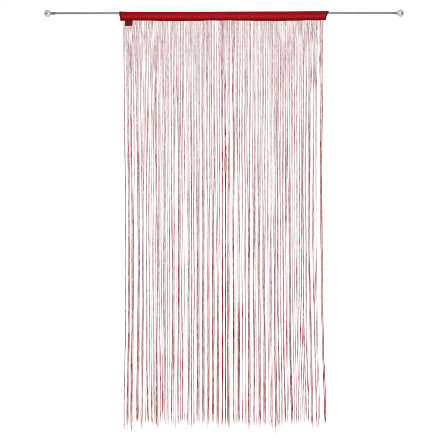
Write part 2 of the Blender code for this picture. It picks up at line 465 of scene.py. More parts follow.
def gathers(x, depth):
    """Small slanted gathers that the sewing draws into the cloth between the pocket and the hem, -1
    in a valley to 1 on a ridge. Those of the back layer lie between those of the front."""
    uneven = math.sin(x * 13.0 + 0.6) * math.sin(x * 29.0 + 2.0)
    fullness = GATHER_EVEN + (1.0 - GATHER_EVEN) * uneven
    turn = 2 * math.pi * (x + GATHER_SLANT * depth) / GATHER_PITCH + waves(x, GATHER_DRIFT)
    return zone(depth, GATHER_ZONE) * fullness * math.sin(turn)


def label_folds(x, depth):
    """Two slanted folds that meet over the middle of the label, where the tab pulls the cloth."""
    total = 0.0
    for side in (-1.0, 1.0):
        line = LABEL_MIDDLE + side * (FOLD_SLANT * (FOLD_MEETING - depth) + FOLD_APART)
        total += math.exp(-(((x - line) / FOLD_WIDTH) ** 2))
    return FOLD_HEIGHT * zone(depth, FOLD_ZONE) * total


def side_hem_step(inside):
    """The turned-in ends are a layer thicker, and their sewing line sinks in."""
    turned = SIDE_STEP * (1.0 - smooth_step((inside - SIDE_HEM) / SIDE_STEP_WIDTH))
    return turned - groove(inside - SIDE_SEAM, SIDE_GROOVE)


def hem_line(depth):
    """The two sewing lines of the hem sink into the cloth."""
    return sum(groove(depth - line, HEM_GROOVE) for line in HEM_SEAMS)


def header_rows():
    """(which face, depth or angle) of each row, from the front hem over the rod to the back one."""
    depths = []
    for row in range(HALF_ROWS + 1):
        share = row / HALF_ROWS
        depths.append(HEADER_DROP + (HEADER_HALF[0][0] - HEADER_DROP) * share)
    front = [("front", depth) for depth in depths]
    fold = [("fold", math.pi * step / FOLD_ROWS) for step in range(FOLD_ROWS + 1)]
    back = [("back", depth) for depth in reversed(depths)]
    return front + fold + back


def header_point(along, row):
    """A point of the cloth's middle surface: along is -1 to 1 from the left end to the right end."""
    face, value = row
    side = -1.0 if face == "front" or (face == "fold" and value < math.pi / 2) else 1.0
    half = HEADER_WIDTH / 2
    x = along * half
    if face == "fold":
        away = -FOLD_RADIUS * math.cos(value)
        height = (FOLD_RADIUS + fold_lift(x)) * math.sin(value)
        share = 0.0
    else:
        share = between(HEADER_HALF, value, 2)
        outward = GATHER_DEPTH * gathers(x if face == "front" else x + BACK_SHIFT, value) - hem_line(value)
        if face == "front":
            outward += label_room(x) * share + label_folds(x, value)
        away = (between(HEADER_HALF, value, 1) + outward) * side
        height = -value
    draw_in = between(HEADER_ENDS, height, 1 if along < 0 else 2)
    x = along * (half - draw_in)
    away += side_hem_step(half - draw_in - abs(x)) * side
    return (x, away + hem_bow(x) * share, height + hem_level(x) * share)


def shaded_rows(tree, value, rows):
    """A colour that changes with a value, from a table of values and colours that starts at the top."""
    top, bottom = rows[0][0], rows[-1][0]
    ramp = tree.nodes.new("ShaderNodeValToRGB")
    stops = ramp.color_ramp.elements
    while len(stops) < len(rows):
        stops.new(0.5)
    for stop, (level, colour) in zip(stops, reversed(rows)):
        stop.position = (level - bottom) / (top - bottom)
        stop.color = (*colour, 1.0)
    tree.links.new(ranged(tree, value, 0.0, 1.0, bottom, top), ramp.inputs["Fac"])
    return ramp.outputs["Color"]


def scaled(tree, colour, *factors):
    """A colour made lighter or darker by each factor, or tinted by another colour."""
    for factor in factors:
        inputs = {"Factor": 1.0, 6: colour, 7: factor}
        colour = made_by(tree, "ShaderNodeMix", inputs, 2, data_type="RGBA", blend_type="MULTIPLY")
    return colour


def noted(tree, mark):
    """A number that is noted on each point of the mesh."""
    return made_by(tree, "ShaderNodeAttribute", {}, "Fac", attribute_name=mark)


def ribs(tree, direction, scale, distortion=0.0, lean=0.0):
    """Fine ribs that follow one another in a direction, 0 between them and 1 on them."""
    inputs = {"Vector": object_place(tree, turn=(0.0, lean, 0.0)), "Scale": scale, "Distortion": distortion}
    return made_by(tree, "ShaderNodeTexWave", inputs, "Fac", bands_direction=direction)


def knitted_header():
    """Dense warp-knit cloth: fine upright wales with slanted loops, with painted shade along the sewn
    hem and over the rod, and painted light along the fold and below the rod.
    """
    made, tree, shader = new_finish("red header cloth", 0.8, Specular_IOR_Level=0.08)
    wales = ribs(tree, "X", 260.0, 0.6, lean=0.16)
    loops = ribs(tree, "Z", 330.0, 1.2, lean=-0.5)
    knit = worked_out(tree, "MULTIPLY", wales, loops)
    cloud = speckle(tree, object_place(tree, (1.0, 1.0, 3.0)), HEADER_CLOUD)
    fibre = speckle(tree, object_place(tree), HEADER_FIBRES, 2.0)
    # Light and shade painted by level: the rows paint a highlight along the fold, shade over the rod and
    # the hem and light between them; the gathers' valleys are given painted shade and their ridges a
    # painted highlight.
    tone = scaled(
        tree,
        shaded_rows(tree, noted(tree, "level"), HEADER_REDS_WITH_PAINTED_LIGHT),
        ranged(tree, cloud, 0.82, 1.18, 0.3, 0.7),
        ranged(tree, noted(tree, "gather"), 0.65, 1.35, -1.0, 1.0),
    )
    # Painted shade between the loops of the knit, and in the turned-in ends, where the doubled cloth lets
    # less light through.
    colour = blended(tree, ranged(tree, knit, 0.30, 0.0, 0.0, 0.5), tone, RED_PAINTED_SHADE)
    colour = blended(tree, noted(tree, "turned_in"), colour, RED_PAINTED_SHADE)
    bumps = ((fibre, FIBRE_DEPTH), (knit, KNIT_DEPTH))
    dress(tree, shader, colour, *bumps, roughness=ranged(tree, fibre, 0.68, 0.90))
    glow = made_by(tree, "ShaderNodeBsdfTranslucent", {"Color": colour})
    mixed = made_by(tree, "ShaderNodeMixShader", {0: HEADER_GLOW, 1: shader.outputs[0], 2: glow})
    tree.links.new(mixed, tree.nodes["Material Output"].inputs["Surface"])
    return made


def plain_mesh(name, mesh, kind, settings, inputs):
    """The plain mesh that one modifier makes of another mesh."""
    source = put_in(name + "_source", mesh)
    shaper = source.modifiers.new("Shape", kind)
    for setting, value in settings.items():
        setattr(shaper, setting, value)
    for identifier, value in inputs.items():
        shaper[identifier] = value
    bpy.context.view_layer.update()
    seen = source.evaluated_get(bpy.context.evaluated_depsgraph_get())
    made = bpy.data.meshes.new_from_object(seen)
    made.name = name
    source.modifiers.clear()
    bpy.data.objects.remove(source, do_unlink=True)
    return made


def cloth_mesh(name, grid, thickness):
    """A sheet of real thickness round a grid of points, as a closed mesh."""
    points = [point for line in grid for point in line]
    rows = len(grid[0])
    faces = []
    for line in range(len(grid) - 1):
        for row in range(line * rows, (line + 1) * rows - 1):
            faces.append((row, row + 1, row + rows + 1, row + rows))
    sheet = bpy.data.meshes.new(name)
    sheet.from_pydata(points, [], faces)
    shape = bmesh.new()
    shape.from_mesh(plain_mesh(name, sheet, "SOLIDIFY", {"thickness": thickness, "offset": 0.0}, {}))
    return shaped_mesh(shape, name, 60)


def mark_cloth(mesh):
    """Notes on each point, for the painted light and shade of the cloth's colour: its level on the
    cloth, how far it is inside the turned-in ends, and whether it lies in a valley or on a ridge of
    the gathers."""
    half = HEADER_WIDTH / 2
    marks = [mesh.attributes.new(mark, "FLOAT", "POINT") for mark in ("level", "turned_in", "gather")]
    for corner in mesh.vertices:
        x, y, height = corner.co
        width = half - between(HEADER_ENDS, height, 1 if x < 0 else 2)
        flat = x * half / width
        level = height * FOLD_RADIUS / (FOLD_RADIUS + fold_lift(flat))
        if height < 0.0:
            level = height - hem_level(x) * between(HEADER_HALF, -height, 2)
        inside = (width - abs(x) - SIDE_HEM * 0.7) / (SIDE_HEM * 0.4)
        turned_in = 0.75 * (1.0 - smooth_step(inside))
        gather = gathers(flat if y < hem_bow(x) else flat + BACK_SHIFT, -level)
        for mark, value in zip(marks, (level, turned_in, gather)):
            mark.data[corner.index].value = value


columns = round(HEADER_WIDTH / HEADER_STEP)
header_grid = [
    [header_point(2.0 * column / columns - 1.0, row) for row in header_rows()]
    for column in range(columns + 1)
]
header_mesh = cloth_mesh("header_cloth", header_grid, CLOTH)
mark_cloth(header_mesh)
header = place_piece("header_cloth", header_mesh, knitted_header(), "header_cloth", "header")


# ----------------------------------------
# Hem and side seams
# Lockstitched polyester thread in a darker red: two lines through the hem, which also hold the
# strings' edge strip, and one line down each turned-in end.

THREAD = 0.00042
STITCH_PITCH = 0.0032
STITCH_LENGTH = 0.0027
HEM_SEAM_REACH = 0.997  # share of the header's half width
HEM_SEAM_STEPS = 500
SIDE_SEAM_PLACE = SIDE_SEAM / (HEADER_WIDTH / 2) - 1.0  # share of the half width, on the left
SIDE_SEAM_TOP = 0.0035
SIDE_SEAM_LENGTH = 0.0300
SIDE_SEAM_STEPS = 40
THREAD_DEEP = (0.10, 0.002, 0.004)
THREAD_LIGHT = (0.20, 0.005, 0.009)
THREAD_PLY = 1800.0  # for each metre
THREAD_PLY_DEPTH = 0.00008


def new_tree(name, inputs):
    """A shape tree that takes a shape and gives a shape, and its other named inputs' identifiers,
    by which a modifier sets them."""
    tree = bpy.data.node_groups.new(name, "GeometryNodeTree")
    tree.interface.new_socket("Geometry", in_out="INPUT", socket_type="NodeSocketGeometry")
    tree.interface.new_socket("Geometry", in_out="OUTPUT", socket_type="NodeSocketGeometry")
    sockets = {}
    for label, kind in inputs.items():
        made = tree.interface.new_socket(label, in_out="INPUT", socket_type="NodeSocket" + kind)
        sockets[label] = made.identifier
    return tree, tree.nodes.new("NodeGroupInput").outputs, sockets


def end_tree(tree, shape, finish):
    """Every shape tree ends in real geometry with its material."""
    real = made_by(tree, "GeometryNodeRealizeInstances", {"Geometry": shape})
    painted = made_by(tree, "GeometryNodeSetMaterial", {"Geometry": real, "Material": finish})
    tree.links.new(painted, tree.nodes.new("NodeGroupOutput").inputs["Geometry"])


def stitch_tree():
    """Lays a rounded stitch at every pitch along the seams it is given."""
    inputs = {"Pitch": "Float", "Stitch Size": "Vector", "Thread": "Material"}
    tree, way_in, sockets = new_tree("stitches", inputs)
    curve = made_by(tree, "GeometryNodeMeshToCurve", {"Mesh": way_in["Geometry"]})
    pitches = {"Curve": curve, "Length": way_in["Pitch"]}
    bead = made_by(tree, "GeometryNodeMeshUVSphere", {"Segments": 6, "Rings": 4, "Radius": 0.5})
    tangent = made_by(tree, "GeometryNodeInputTangent", {})
    stitch = {
        "Points": made_by(tree, "GeometryNodeResampleCurve", pitches, mode="LENGTH"),
        "Instance": made_by(tree, "GeometryNodeSetShadeSmooth", {"Geometry": bead}),
        "Rotation": made_by(tree, "FunctionNodeAlignRotationToVector", {"Vector": tangent}, axis="X"),
        "Scale": way_in["Stitch Size"],
    }
    end_tree(tree, made_by(tree, "GeometryNodeInstanceOnPoints", stitch), way_in["Thread"])
    return tree, sockets


def chain_mesh(name, lines, marks):
    """A mesh of open chains of edges, with named numbers on each point if there are any."""
    corners = [corner for line in lines for corner in line]
    edges = []
    start = 0
    for line in lines:
        edges += [(start + a, start + a + 1) for a in range(len(line) - 1)]
        start += len(line)
    mesh = bpy.data.meshes.new(name)
    mesh.from_pydata(corners, edges, [])
    for mark, numbers in marks.items():
        mesh.attributes.new(mark, "FLOAT", "POINT").data.foreach_set("value", numbers)
    return mesh


def grown_mesh(name, lines, tree, sockets, values, marks):
    """Runs a shape tree over chains of points and gives back the plain mesh."""
    inputs = {sockets[label]: value for label, value in values.items()}
    return plain_mesh(name, chain_mesh(name, lines, marks), "NODES", {"node_group": tree}, inputs)


def sewing_thread():
    """Twisted thread: its plies lie a little lighter and darker by turns."""
    made, tree, shader = new_finish("red sewing thread", 0.65, Specular_IOR_Level=0.08)
    ply = speckle(tree, object_place(tree, (1.0, 1.0, 1.4)), THREAD_PLY, 2.0)
    dress(tree, shader, blended(tree, ply, THREAD_DEEP, THREAD_LIGHT), (ply, THREAD_PLY_DEPTH))
    return made


def seams(places):
    """Seams on both outer faces of the cloth, through lines of (place along the header, depth)."""
    lines = []
    for face, side in (("front", -1.0), ("back", 1.0)):
        for line in places:
            points = [header_point(along, (face, depth)) for along, depth in line]
            lines.append([(x, y + (CLOTH / 2 + THREAD * 0.15) * side, z) for x, y, z in points])
    return lines


hem_places = [
    [(HEM_SEAM_REACH * (2.0 * step / HEM_SEAM_STEPS - 1.0), depth) for step in range(HEM_SEAM_STEPS + 1)]
    for depth in HEM_SEAMS
]
side_depths = [
    SIDE_SEAM_TOP + SIDE_SEAM_LENGTH * step / SIDE_SEAM_STEPS for step in range(SIDE_SEAM_STEPS + 1)
]
side_places = [[(side, depth) for depth in side_depths] for side in (SIDE_SEAM_PLACE, -SIDE_SEAM_PLACE)]
stitches, stitch_sockets = stitch_tree()
sewing = {
    "Pitch": STITCH_PITCH,
    "Stitch Size": (STITCH_LENGTH, THREAD, THREAD),
    "Thread": sewing_thread(),
}
for name, places in (("hem_stitches", hem_places), ("side_stitches", side_places)):
    mesh = grown_mesh(name, seams(places), stitches, stitch_sockets, sewing, {})
    place_piece(name, mesh, None, "header_cloth")


# ----------------------------------------
# Strings
# Some hundreds of thin flat knitted cords. Their upper ends are bound side by side on an edge
# strip, which is caught between the header's two layers by the hem's sewing lines. Below the
# header they hang loose, gather in bundles and single strands, and end cut at uneven lengths.

strings_low, strings_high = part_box("strings")
TEETH = 39
PER_BUNDLE = 9.3  # strings that start over one bundle's width, on average
STRING_TOP = 0.0325  # inside the hem
STRING_DROP = 1.968
LONG_TIP = 0.050
BUNDLE_SEED = 5
STRING_SEED = 17
CORD_WIDTH = 0.00155
CORD_THICKNESS = 0.00075
CORD_SIDES = 6
CORD_UNEVENNESS = 0.28
CORD_TWIST = 0.9  # turn of the flat cords to each side
CORD_LOOPS = 210.0
LOOP_DEPTH = 0.00018
CORD_WEAR = 90.0  # for each metre
FRAYED_FROM = 0.994  # share of a cord's length,
FRAYED_GIRTH = 0.45  # and its girth at the very tip
STRING_STEP = 0.021  # between neighbouring points of a string's path
BANKS = 4
SWAY = 0.0012
GROUP_SWAY = 0.0004
OWN_SWAYS = ((0.0004, 1.0, 0.0), (0.00025, 5.3, 9.0))  # size, pace, share of the splay
LAYERS = (0.0002, 0.0013)  # half the depth that the strings take up at the hem, and more below
SPLAY = 0.0020  # of the tips to each side,
SPLAY_LENGTH = 0.06  # over this length
LOOSE = (0.04, 0.4)  # depth where the strings come free of the hem, and length that it takes
TIGHT = (0.30, 0.4, 1.0)  # how much groups draw together, from which depth, over which length
PACKED = (1.0, 0.4, 0.6)  # the same for how still a single group hangs
GROUP_SPREAD = 1.1
STRAYS = 0.20  # share of the strings that keep to their own places
TIP_SHARE = 0.10  # the longest strings of a bundle follow its drop, and the others less
STRIP_TOP = 0.024
STRIP_WIDTH = 0.0108
STRIP = 0.0008
STRIP_STEPS = 240
STRIP_ROWS = 5
CORD_SEEN = 0.0013  # width that a cord covers from the front, on average
CROWD_CELL = 0.0002  # the cords are counted in cells of this width,
CROWD_STEP = 0.020  # at depths this far apart,
CROWD_REACH = 0.0042  # and over this width round a cord
STRING_TOP_TINT_AND_SHADE = (0.95, 0.8, 2.2)  # a cooler, slightly darker red below the header and a browner, lighter one at the ends; the lightening is painted light for the dimmer light there
STRING_TIP_TINT_AND_LIGHT = (1.12, 1.5, 0.4)  # and a browner one at the ends

# Each row: share of the width round a cord that cords fill, colour of the cord there. Cords that
# hang close together shade one another.
STRING_REDS = (
    (1.00, (0.230, 0.0080, 0.0120)),
    (0.92, (0.330, 0.0080, 0.0120)),
    (0.80, (0.410, 0.0080, 0.0120)),
    (0.65, (0.460, 0.0080, 0.0120)),
    (0.45, (0.450, 0.0080, 0.0120)),
    (0.00, (0.380, 0.0080, 0.0120)),
)

# The outer strings draw in below the header and flare again towards their ends.
# Each row: depth below the rod's axis, left side, right side.
SIDES = (
    (0.035, -0.4860, 0.4780),
    (0.150, -0.4815, 0.4735),
    (0.450, -0.4765, 0.4710),
    (0.750, -0.4725, 0.4690),
    (1.100, -0.4715, 0.4695),
    (1.400, -0.4720, 0.4740),
    (1.650, -0.4750, 0.4790),
    (1.850, -0.4790, 0.4860),
    (2.050, -0.4810, 0.4900),
)
SIDE_PULL = 1.4

# Each row: depth below the rod's axis, fullness of a cord there. The cords are drawn tight in the
# middle of their length, and towards their ends they lose their twist and fluff up.
CORD_GIRTH = (
    (0.030, 1.16),
    (0.150, 1.06),
    (0.450, 0.98),
    (1.050, 0.96),
    (1.600, 1.02),
    (2.050, 1.10),
)

# The partings that stay open all the way down, each named by the bundle on its right.
PARTINGS = (4, 7, 9, 12, 15, 18, 21, 23, 25, 28, 31, 34)

# The groups of the first and the last bundle, as shares of a bundle's width from its middle.
OUTER_GROUPS = {0: (-0.53, 0.10), TEETH - 1: (0.36,)}


def string_place(u, depth):
    """The x of the string that starts at share u of the width, at a depth below the rod."""
    first = SIDES[0]
    start = first[1] + (first[2] - first[1]) * u
    left = between(SIDES, depth, 1) - first[1]
    right = between(SIDES, depth, 2) - first[2]
    pull_left = max(0.0, 1.0 - 2.0 * u) ** SIDE_PULL
    pull_right = max(0.0, 2.0 * u - 1.0) ** SIDE_PULL
    return start + left * pull_left + right * pull_right


def plan_bundles():
    """Each bundle's place, shift, drop and sway, from the same draw as the solid comb's, and the
    groups that its strings form on the way down, from another."""
    draw = random.Random(BUNDLE_SEED)
    more = random.Random(STRING_SEED)
    bundles = []
    for tooth in range(TEETH):
        outer = tooth in OUTER_GROUPS
        shift = draw.uniform(-0.13, 0.13) / TEETH
        bundle = SimpleNamespace(
            tooth=tooth,
            u=(tooth + 0.5) / TEETH,
            shift=0.0 if outer else shift,
            drop=STRING_DROP + draw.uniform(-0.022, 0.020) + LONG_TIP * draw.random() ** 6,
            fullness=draw.uniform(0.75, 1.20),
            phase=draw.uniform(0.0, 2 * math.pi),
            rate=draw.uniform(6.0, 11.0),
            groups=plan_groups(more, group_places(more, tooth)),
            joins=more.uniform(0.85, 1.00) if more.random() < 0.50 and not outer else 0.0,
            packing=more.uniform(0.00072, 0.00105),
            joins_from=more.uniform(0.30, 0.85),
            joins_to=more.uniform(0.95, 1.60),
        )
        bundles.append(bundle)
    return bundles


def group_places(draw, tooth):
    """Where in the bundle its one to three groups gather. The outer ones keep to the cloth's sides."""
    if tooth in OUTER_GROUPS:
        return OUTER_GROUPS[tooth]
    count = draw.choices((1, 2, 3), (0.10, 0.46, 0.44))[0]
    return [(number + 0.5) / count - 0.5 + draw.uniform(-0.09, 0.09) for number in range(count)]


def plan_groups(draw, places):
    """The groups of a bundle, each with its place in it and the depths where it gathers."""
    return [
        SimpleNamespace(
            place=place,
            packing=draw.choice((0.0008, 0.0010, 0.0013)),
            start=draw.uniform(0.00, 0.08),
            end=draw.uniform(0.26, 0.95),
            gathers=draw.uniform(0.80, 1.00),
            phase=draw.uniform(0.0, 2 * math.pi),
        )
        for place in places
    ]


def rank(strings, name):
    """Numbers strings that hang side by side from left to right, with 0 in their middle."""
    for place, string in enumerate(strings):
        setattr(string, name, place - (len(strings) - 1) / 2)


def plan_strings(bundles):
    """Each string's start at the hem, its bundle and group, its rank there, and its own small ways."""
    draw = random.Random(STRING_SEED + 1)
    strings = []
    for bundle in bundles:
        tooth = bundle.tooth
        outer = tooth in OUTER_GROUPS
        left = -0.44 if tooth in PARTINGS else -0.58 if tooth == 0 else -0.5
        right = 0.44 if tooth + 1 in PARTINGS else 0.5
        count = round(PER_BUNDLE * (0.5 + (right - left) / 2) + draw.uniform(-0.7, 0.7))
        count += 2 if outer else 0
        members = []
        for number in range(count):
            place = left + (right - left) * (number + 0.5 + draw.uniform(-0.32, 0.32)) / count
            strays = draw.random() < STRAYS and not outer
            string = SimpleNamespace(
                bundle=bundle,
                u=bundle.u + place / TEETH,
                group=min(bundle.groups, key=lambda group: abs(group.place - place)),
                gathers=draw.uniform(0.05, 0.45) if strays else draw.uniform(0.78, 1.0),
                jitter=draw.uniform(-1.0, 1.0),
                layer=draw.uniform(-1.0, 1.0),
                short=draw.random() ** 1.6,
                phase=draw.uniform(0.0, 2 * math.pi),
                rate=draw.uniform(3.0, 9.0),
                pace=draw.uniform(0.85, 1.25),
                splay=draw.uniform(-1.0, 1.0),
            )
            members.append(string)
        for group in bundle.groups:
            rank([string for string in members if string.group is group], "group_rank")
        rank(members, "rank")
        strings += members
    return strings


def string_point(string, depth, drop):
    """A point of a string's own line. It goes from its even place at the hem to its place in its
    group, and then in its bundle."""
    bundle, group = string.bundle, string.group
    pitch = (SIDES[0][2] - SIDES[0][1]) / TEETH
    loose = smooth_step((depth - LOOSE[0]) / LOOSE[1])
    turn = bundle.phase + depth * bundle.rate
    own = string.phase + depth * string.rate
    joining = (depth - bundle.joins_from) / (bundle.joins_to - bundle.joins_from)
    joined = bundle.joins * smooth_step(joining)
    middle = string_place(bundle.u + bundle.shift * loose, depth) + SWAY * loose * math.sin(turn)
    middle += GROUP_SWAY * loose * math.sin(group.phase + depth * 4.3)
    tight = 1.0 - rise(depth, TIGHT)
    in_group = (string.group_rank + 0.4 * string.jitter) * group.packing * tight
    in_group += group.place * GROUP_SPREAD * pitch
    in_bundle = (string.rank + 0.3 * string.jitter) * bundle.packing * tight
    together = middle + in_group + (in_bundle - in_group) * joined
    way = smooth_step((depth * string.pace - group.start) / (group.end - group.start))
    way *= string.gathers * group.gathers
    whole = joined if len(bundle.groups) > 1 else rise(depth, PACKED)
    packed = way * (0.45 + 0.55 * whole)
    free = string_place(string.u, depth)
    x = free + (together - free) * way
    for size, pace, share in OWN_SWAYS:
        x += size * loose * (1.0 - 0.6 * packed) * math.sin(own * pace + string.splay * share)
    x += SPLAY * string.splay * smooth_step((depth - drop + SPLAY_LENGTH) / SPLAY_LENGTH)
    y = hem_bow(x) + SWAY * loose * math.cos(turn * 0.7)
    y += string.layer * (LAYERS[0] + LAYERS[1] * loose) + 0.0005 * loose * math.sin(own * 1.7)
    return (x, y, -depth)


def string_path(string):
    """The points of a string from inside the hem down to its own end."""
    top = STRING_TOP - hem_level(string_place(string.u, STRING_TOP))
    follows = 1.0 if string.short < TIP_SHARE else 0.35
    longer = follows * (string.bundle.drop - STRING_DROP) + 0.006 - 0.020 * string.short
    drop = min(STRING_DROP + longer, -strings_low.z)
    steps = round((drop - top) / STRING_STEP)
    depths = [top + (drop - top) * step / steps for step in range(steps + 1)]
    return [string_point(string, depth, drop) for depth in depths]


def count_level(paths, depth):
    """Running totals of the cells of width that the cords fill at a depth, from left to right."""
    cells = bytearray(round((strings_high.x - strings_low.x + 8 * CROWD_REACH) / CROWD_CELL))
    for path in paths:
        at = (depth + path[0][2]) / (path[0][2] - path[-1][2]) * (len(path) - 1)
        if 0.0 <= at < len(path) - 1:
            above, below = path[int(at)], path[int(at) + 1]
            x = above[0] + (below[0] - above[0]) * (at - int(at))
            first = round((x - CORD_SEEN / 2 - crowd_left) / CROWD_CELL)
            for cell in range(first, first + round(CORD_SEEN / CROWD_CELL)):
                cells[cell] = 1
    return list(itertools.accumulate(cells, initial=0))


def crowding(levels, place):
    """Share of the width round a point of a cord that cords fill, 0 to 1."""
    x, y, z = place
    totals = levels[min(round((-z - strings_start) / CROWD_STEP), len(levels) - 1)]
    middle = round((x - crowd_left) / CROWD_CELL)
    reach = round(CROWD_REACH / CROWD_CELL / 2)
    return (totals[middle + reach] - totals[middle - reach]) / (2 * reach)


def cord_tree():
    """Makes a flat cord of uneven fullness and slowly changing turn along every chain of points."""
    inputs = dict.fromkeys(("Width", "Thickness", "Unevenness", "Twist"), "Float")
    inputs |= {"Sides": "Int", "Seed": "Int", "Cord": "Material"}
    tree, way_in, sockets = new_tree("hanging cords", inputs)
    seed, uneven, twist = way_in["Seed"], way_in["Unevenness"], way_in["Twist"]
    curve = made_by(tree, "GeometryNodeMeshToCurve", {"Mesh": way_in["Geometry"]})

    limits = {2: worked_out(tree, "SUBTRACT", 1.0, uneven), 3: worked_out(tree, "ADD", 1.0, uneven)}
    fullness = made_by(tree, "FunctionNodeRandomValue", {**limits, "Seed": seed}, 1)
    girth = made_by(tree, "GeometryNodeInputNamedAttribute", {"Name": "girth"}, data_type="FLOAT")
    along = made_by(tree, "GeometryNodeSplineParameter", {}, "Factor")
    fray = ranged(tree, along, 1.0, FRAYED_GIRTH, FRAYED_FROM, 1.0)
    size = worked_out(tree, "MULTIPLY", worked_out(tree, "MULTIPLY", fullness, girth), fray)

    next_seed = made_by(tree, "FunctionNodeIntegerMath", {0: seed, 1: 1}, operation="ADD")
    limits = {2: worked_out(tree, "MULTIPLY", twist, -1.0), 3: twist, "Seed": next_seed}
    turn = made_by(tree, "FunctionNodeRandomValue", limits, 1)
    tilted = made_by(tree, "GeometryNodeSetCurveTilt", {"Curve": curve, "Tilt": turn})

    owner = made_by(tree, "GeometryNodeCurveOfPoint", {}, "Curve Index")
    shade = made_by(tree, "FunctionNodeRandomValue", {"ID": owner, "Seed": seed}, 1)
    note = {"Geometry": tilted, "Name": "cord_shade", "Value": shade}
    marked = made_by(tree, "GeometryNodeStoreNamedAttribute", note, data_type="FLOAT", domain="POINT")

    ring = {"Radius": 0.5, "Resolution": way_in["Sides"]}
    ring = made_by(tree, "GeometryNodeCurvePrimitiveCircle", ring, mode="RADIUS")
    flat = {"X": way_in["Width"], "Y": way_in["Thickness"], "Z": 1.0}
    flat = made_by(tree, "ShaderNodeCombineXYZ", flat)
    section = made_by(tree, "GeometryNodeTransform", {"Geometry": ring, "Scale": flat})
    cord = {"Curve": marked, "Profile Curve": section, "Scale": size, "Fill Caps": True}
    body = made_by(tree, "GeometryNodeCurveToMesh", cord)
    end_tree(tree, made_by(tree, "GeometryNodeSetShadeSmooth", {"Geometry": body}), way_in["Cord"])
    return tree, sockets


def string_cord():
    """Knitted polyester cord: each string has its own shade, with slanted loops and a soft sheen."""
    made, tree, shader = new_finish("red string cord", 0.7, Specular_IOR_Level=0.06)
    loops = ribs(tree, "Z", CORD_LOOPS, 2.5, lean=0.6)
    worn = speckle(tree, object_place(tree, (1.0, 1.0, 0.35)), CORD_WEAR)
    lower = ranged(tree, one_axis(tree, object_place(tree), "Z"), 0.0, 1.0, -0.1, -1.4)
    # Painted shade where cords hang close together, painted light that lightens them towards their ends,
    # and painted shade between their loops.
    colour = scaled(
        tree,
        shaded_rows(tree, noted(tree, "crowd"), STRING_REDS),
        blended(tree, lower, STRING_TOP_TINT_AND_SHADE, STRING_TIP_TINT_AND_LIGHT),
        ranged(tree, noted(tree, "cord_shade"), 0.90, 1.10),
        ranged(tree, worn, 1.06, 0.94, 0.35, 0.75),
        ranged(tree, loops, 0.84, 1.08),
    )
    dress(tree, shader, colour, (loops, LOOP_DEPTH), roughness=ranged(tree, worn, 0.5, 0.75))
    return made


def edge_strip_grid():
    """The strip's middle surface, columns of points down from its top to just inside the hem."""
    left, right = strings_low.x + 0.0008, string_place(1.0, 0.035) + 0.002
    grid = []
    for step in range(STRIP_STEPS + 1):
        x = left + (right - left) * step / STRIP_STEPS
        y = hem_bow(x) + 0.00012 * math.sin(x * 900.0)  # rippled by the strings bound on it
        top = hem_level(x) - STRIP_TOP
        grid.append([(x, y, top - STRIP_WIDTH * row / STRIP_ROWS) for row in range(STRIP_ROWS + 1)])
    return grid


cord_finish = string_cord()
cords, cord_sockets = cord_tree()
paths = [string_path(string) for string in plan_strings(plan_bundles())]
strings_start = min(-path[0][2] for path in paths)
crowd_left = strings_low.x - 4 * CROWD_REACH
level_count = math.ceil((-strings_low.z - strings_start) / CROWD_STEP)
levels = [count_level(paths, strings_start + CROWD_STEP * (level + 0.2)) for level in range(level_count)]
for bank in range(BANKS):
    lines = paths[bank * len(paths) // BANKS : (bank + 1) * len(paths) // BANKS]
    values = {
        "Width": CORD_WIDTH,
        "Thickness": CORD_THICKNESS,
        "Sides": CORD_SIDES,
        "Unevenness": CORD_UNEVENNESS,
        "Twist": CORD_TWIST,
        "Seed": STRING_SEED + 10 * bank,
        "Cord": cord_finish,
    }
    marks = {
        "crowd": [crowding(levels, place) for line in lines for place in line],
        "girth": [between(CORD_GIRTH, -place[2], 1) for line in lines for place in line],
    }
    name = f"hanging_strings_{bank + 1}"
    mesh = grown_mesh(name, lines, cords, cord_sockets, values, marks)
    place_piece(name, mesh, None, "strings", "strings")
strip = cloth_mesh("string_edge_strip", edge_strip_grid(), STRIP)
place_piece("string_edge_strip", strip, cord_finish, "strings", "strings")


# ----------------------------------------
# Label
# A small dark woven tab, folded double, with its upper ends caught in the hem's front layer. It
# hangs free below the hem and curls forward. Both of its faces are plain.

LABEL_CLOTH = 0.0009
LABEL_TOP = -label_high.z
LABEL_LOWEST = 0.0617  # depth of its left corner,
LABEL_SLANT = 0.0018  # and how much less its right one hangs
LABEL_COLUMNS = 26
LABEL_ROWS = 30
LABEL_FLARE = 0.0028  # the tab is a little wider on its left than the solid that stands for it
LABEL_OFF = 0.0015  # how far it lies in front of the header's middle,
LABEL_CURL = 0.0034  # how far its lower edge comes forward,
LABEL_BOW = 0.0006  # how far its middle does more,
LABEL_EDGE = 0.00022  # and how far its side edges do
LABEL_DEEP = (0.075, 0.0030, 0.0022)
LABEL_LIGHT = (0.155, 0.0110, 0.0068)
LABEL_RIBS = 480.0
LABEL_WARP = 620.0
RIB_DEPTH = 0.00010
WARP_DEPTH = 0.00005
LABEL_CLOUD = 120.0  # for each metre


def label_point(across, down):
    """A point of the label's middle surface: across from left to right, down from its top, 0 to 1."""
    x = label_low.x - LABEL_FLARE + (2 * LABEL_HALF + LABEL_FLARE) * across
    lowest = LABEL_LOWEST - LABEL_SLANT * across
    depth = LABEL_TOP + 0.0002 + (lowest - LABEL_TOP) * down
    curl = smooth_step((depth - HEADER_DROP) / 0.030)
    edge = min(across, 1.0 - across) * 2 * LABEL_HALF
    y = hem_bow(x) - LABEL_OFF - (LABEL_CURL + LABEL_BOW * math.sin(across * math.pi)) * curl
    y -= LABEL_EDGE * (1.0 - smooth_step(edge / 0.0016)) * curl
    return (x, y, -depth)


